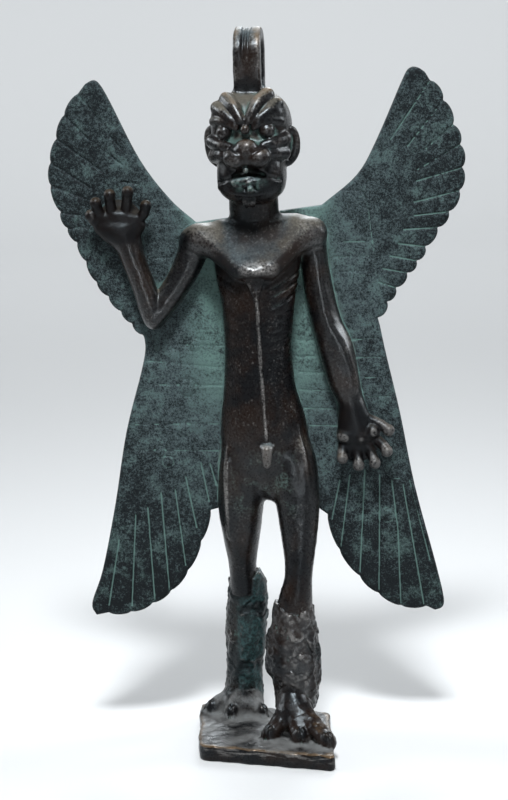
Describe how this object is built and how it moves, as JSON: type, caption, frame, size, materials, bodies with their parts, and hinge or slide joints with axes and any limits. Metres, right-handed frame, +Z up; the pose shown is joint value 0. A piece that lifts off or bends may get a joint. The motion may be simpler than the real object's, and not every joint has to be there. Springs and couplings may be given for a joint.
{
  "type": "pazuzu figure",
  "caption": "Cast bronze figure of a winged, beast-headed demon with bird's feet and a raised hand, standing on a low plinth, with a carrying loop on the crown of its head.",
  "frame": {"origin": "middle of the plinth's flat underside", "axes": "+Z up the figure, -Y the way the figure faces, +X to the viewer's right as seen from the front"},
  "size_m": [0.086, 0.0362, 0.15],
  "materials": {
    "bronze": "dark brown-black patinated cast bronze, worn brown on raised edges, pale green in the hollows"
  },
  "bodies": {
    "root": {"pazuzu_figure": "bronze"}
  },
  "joints": []
}
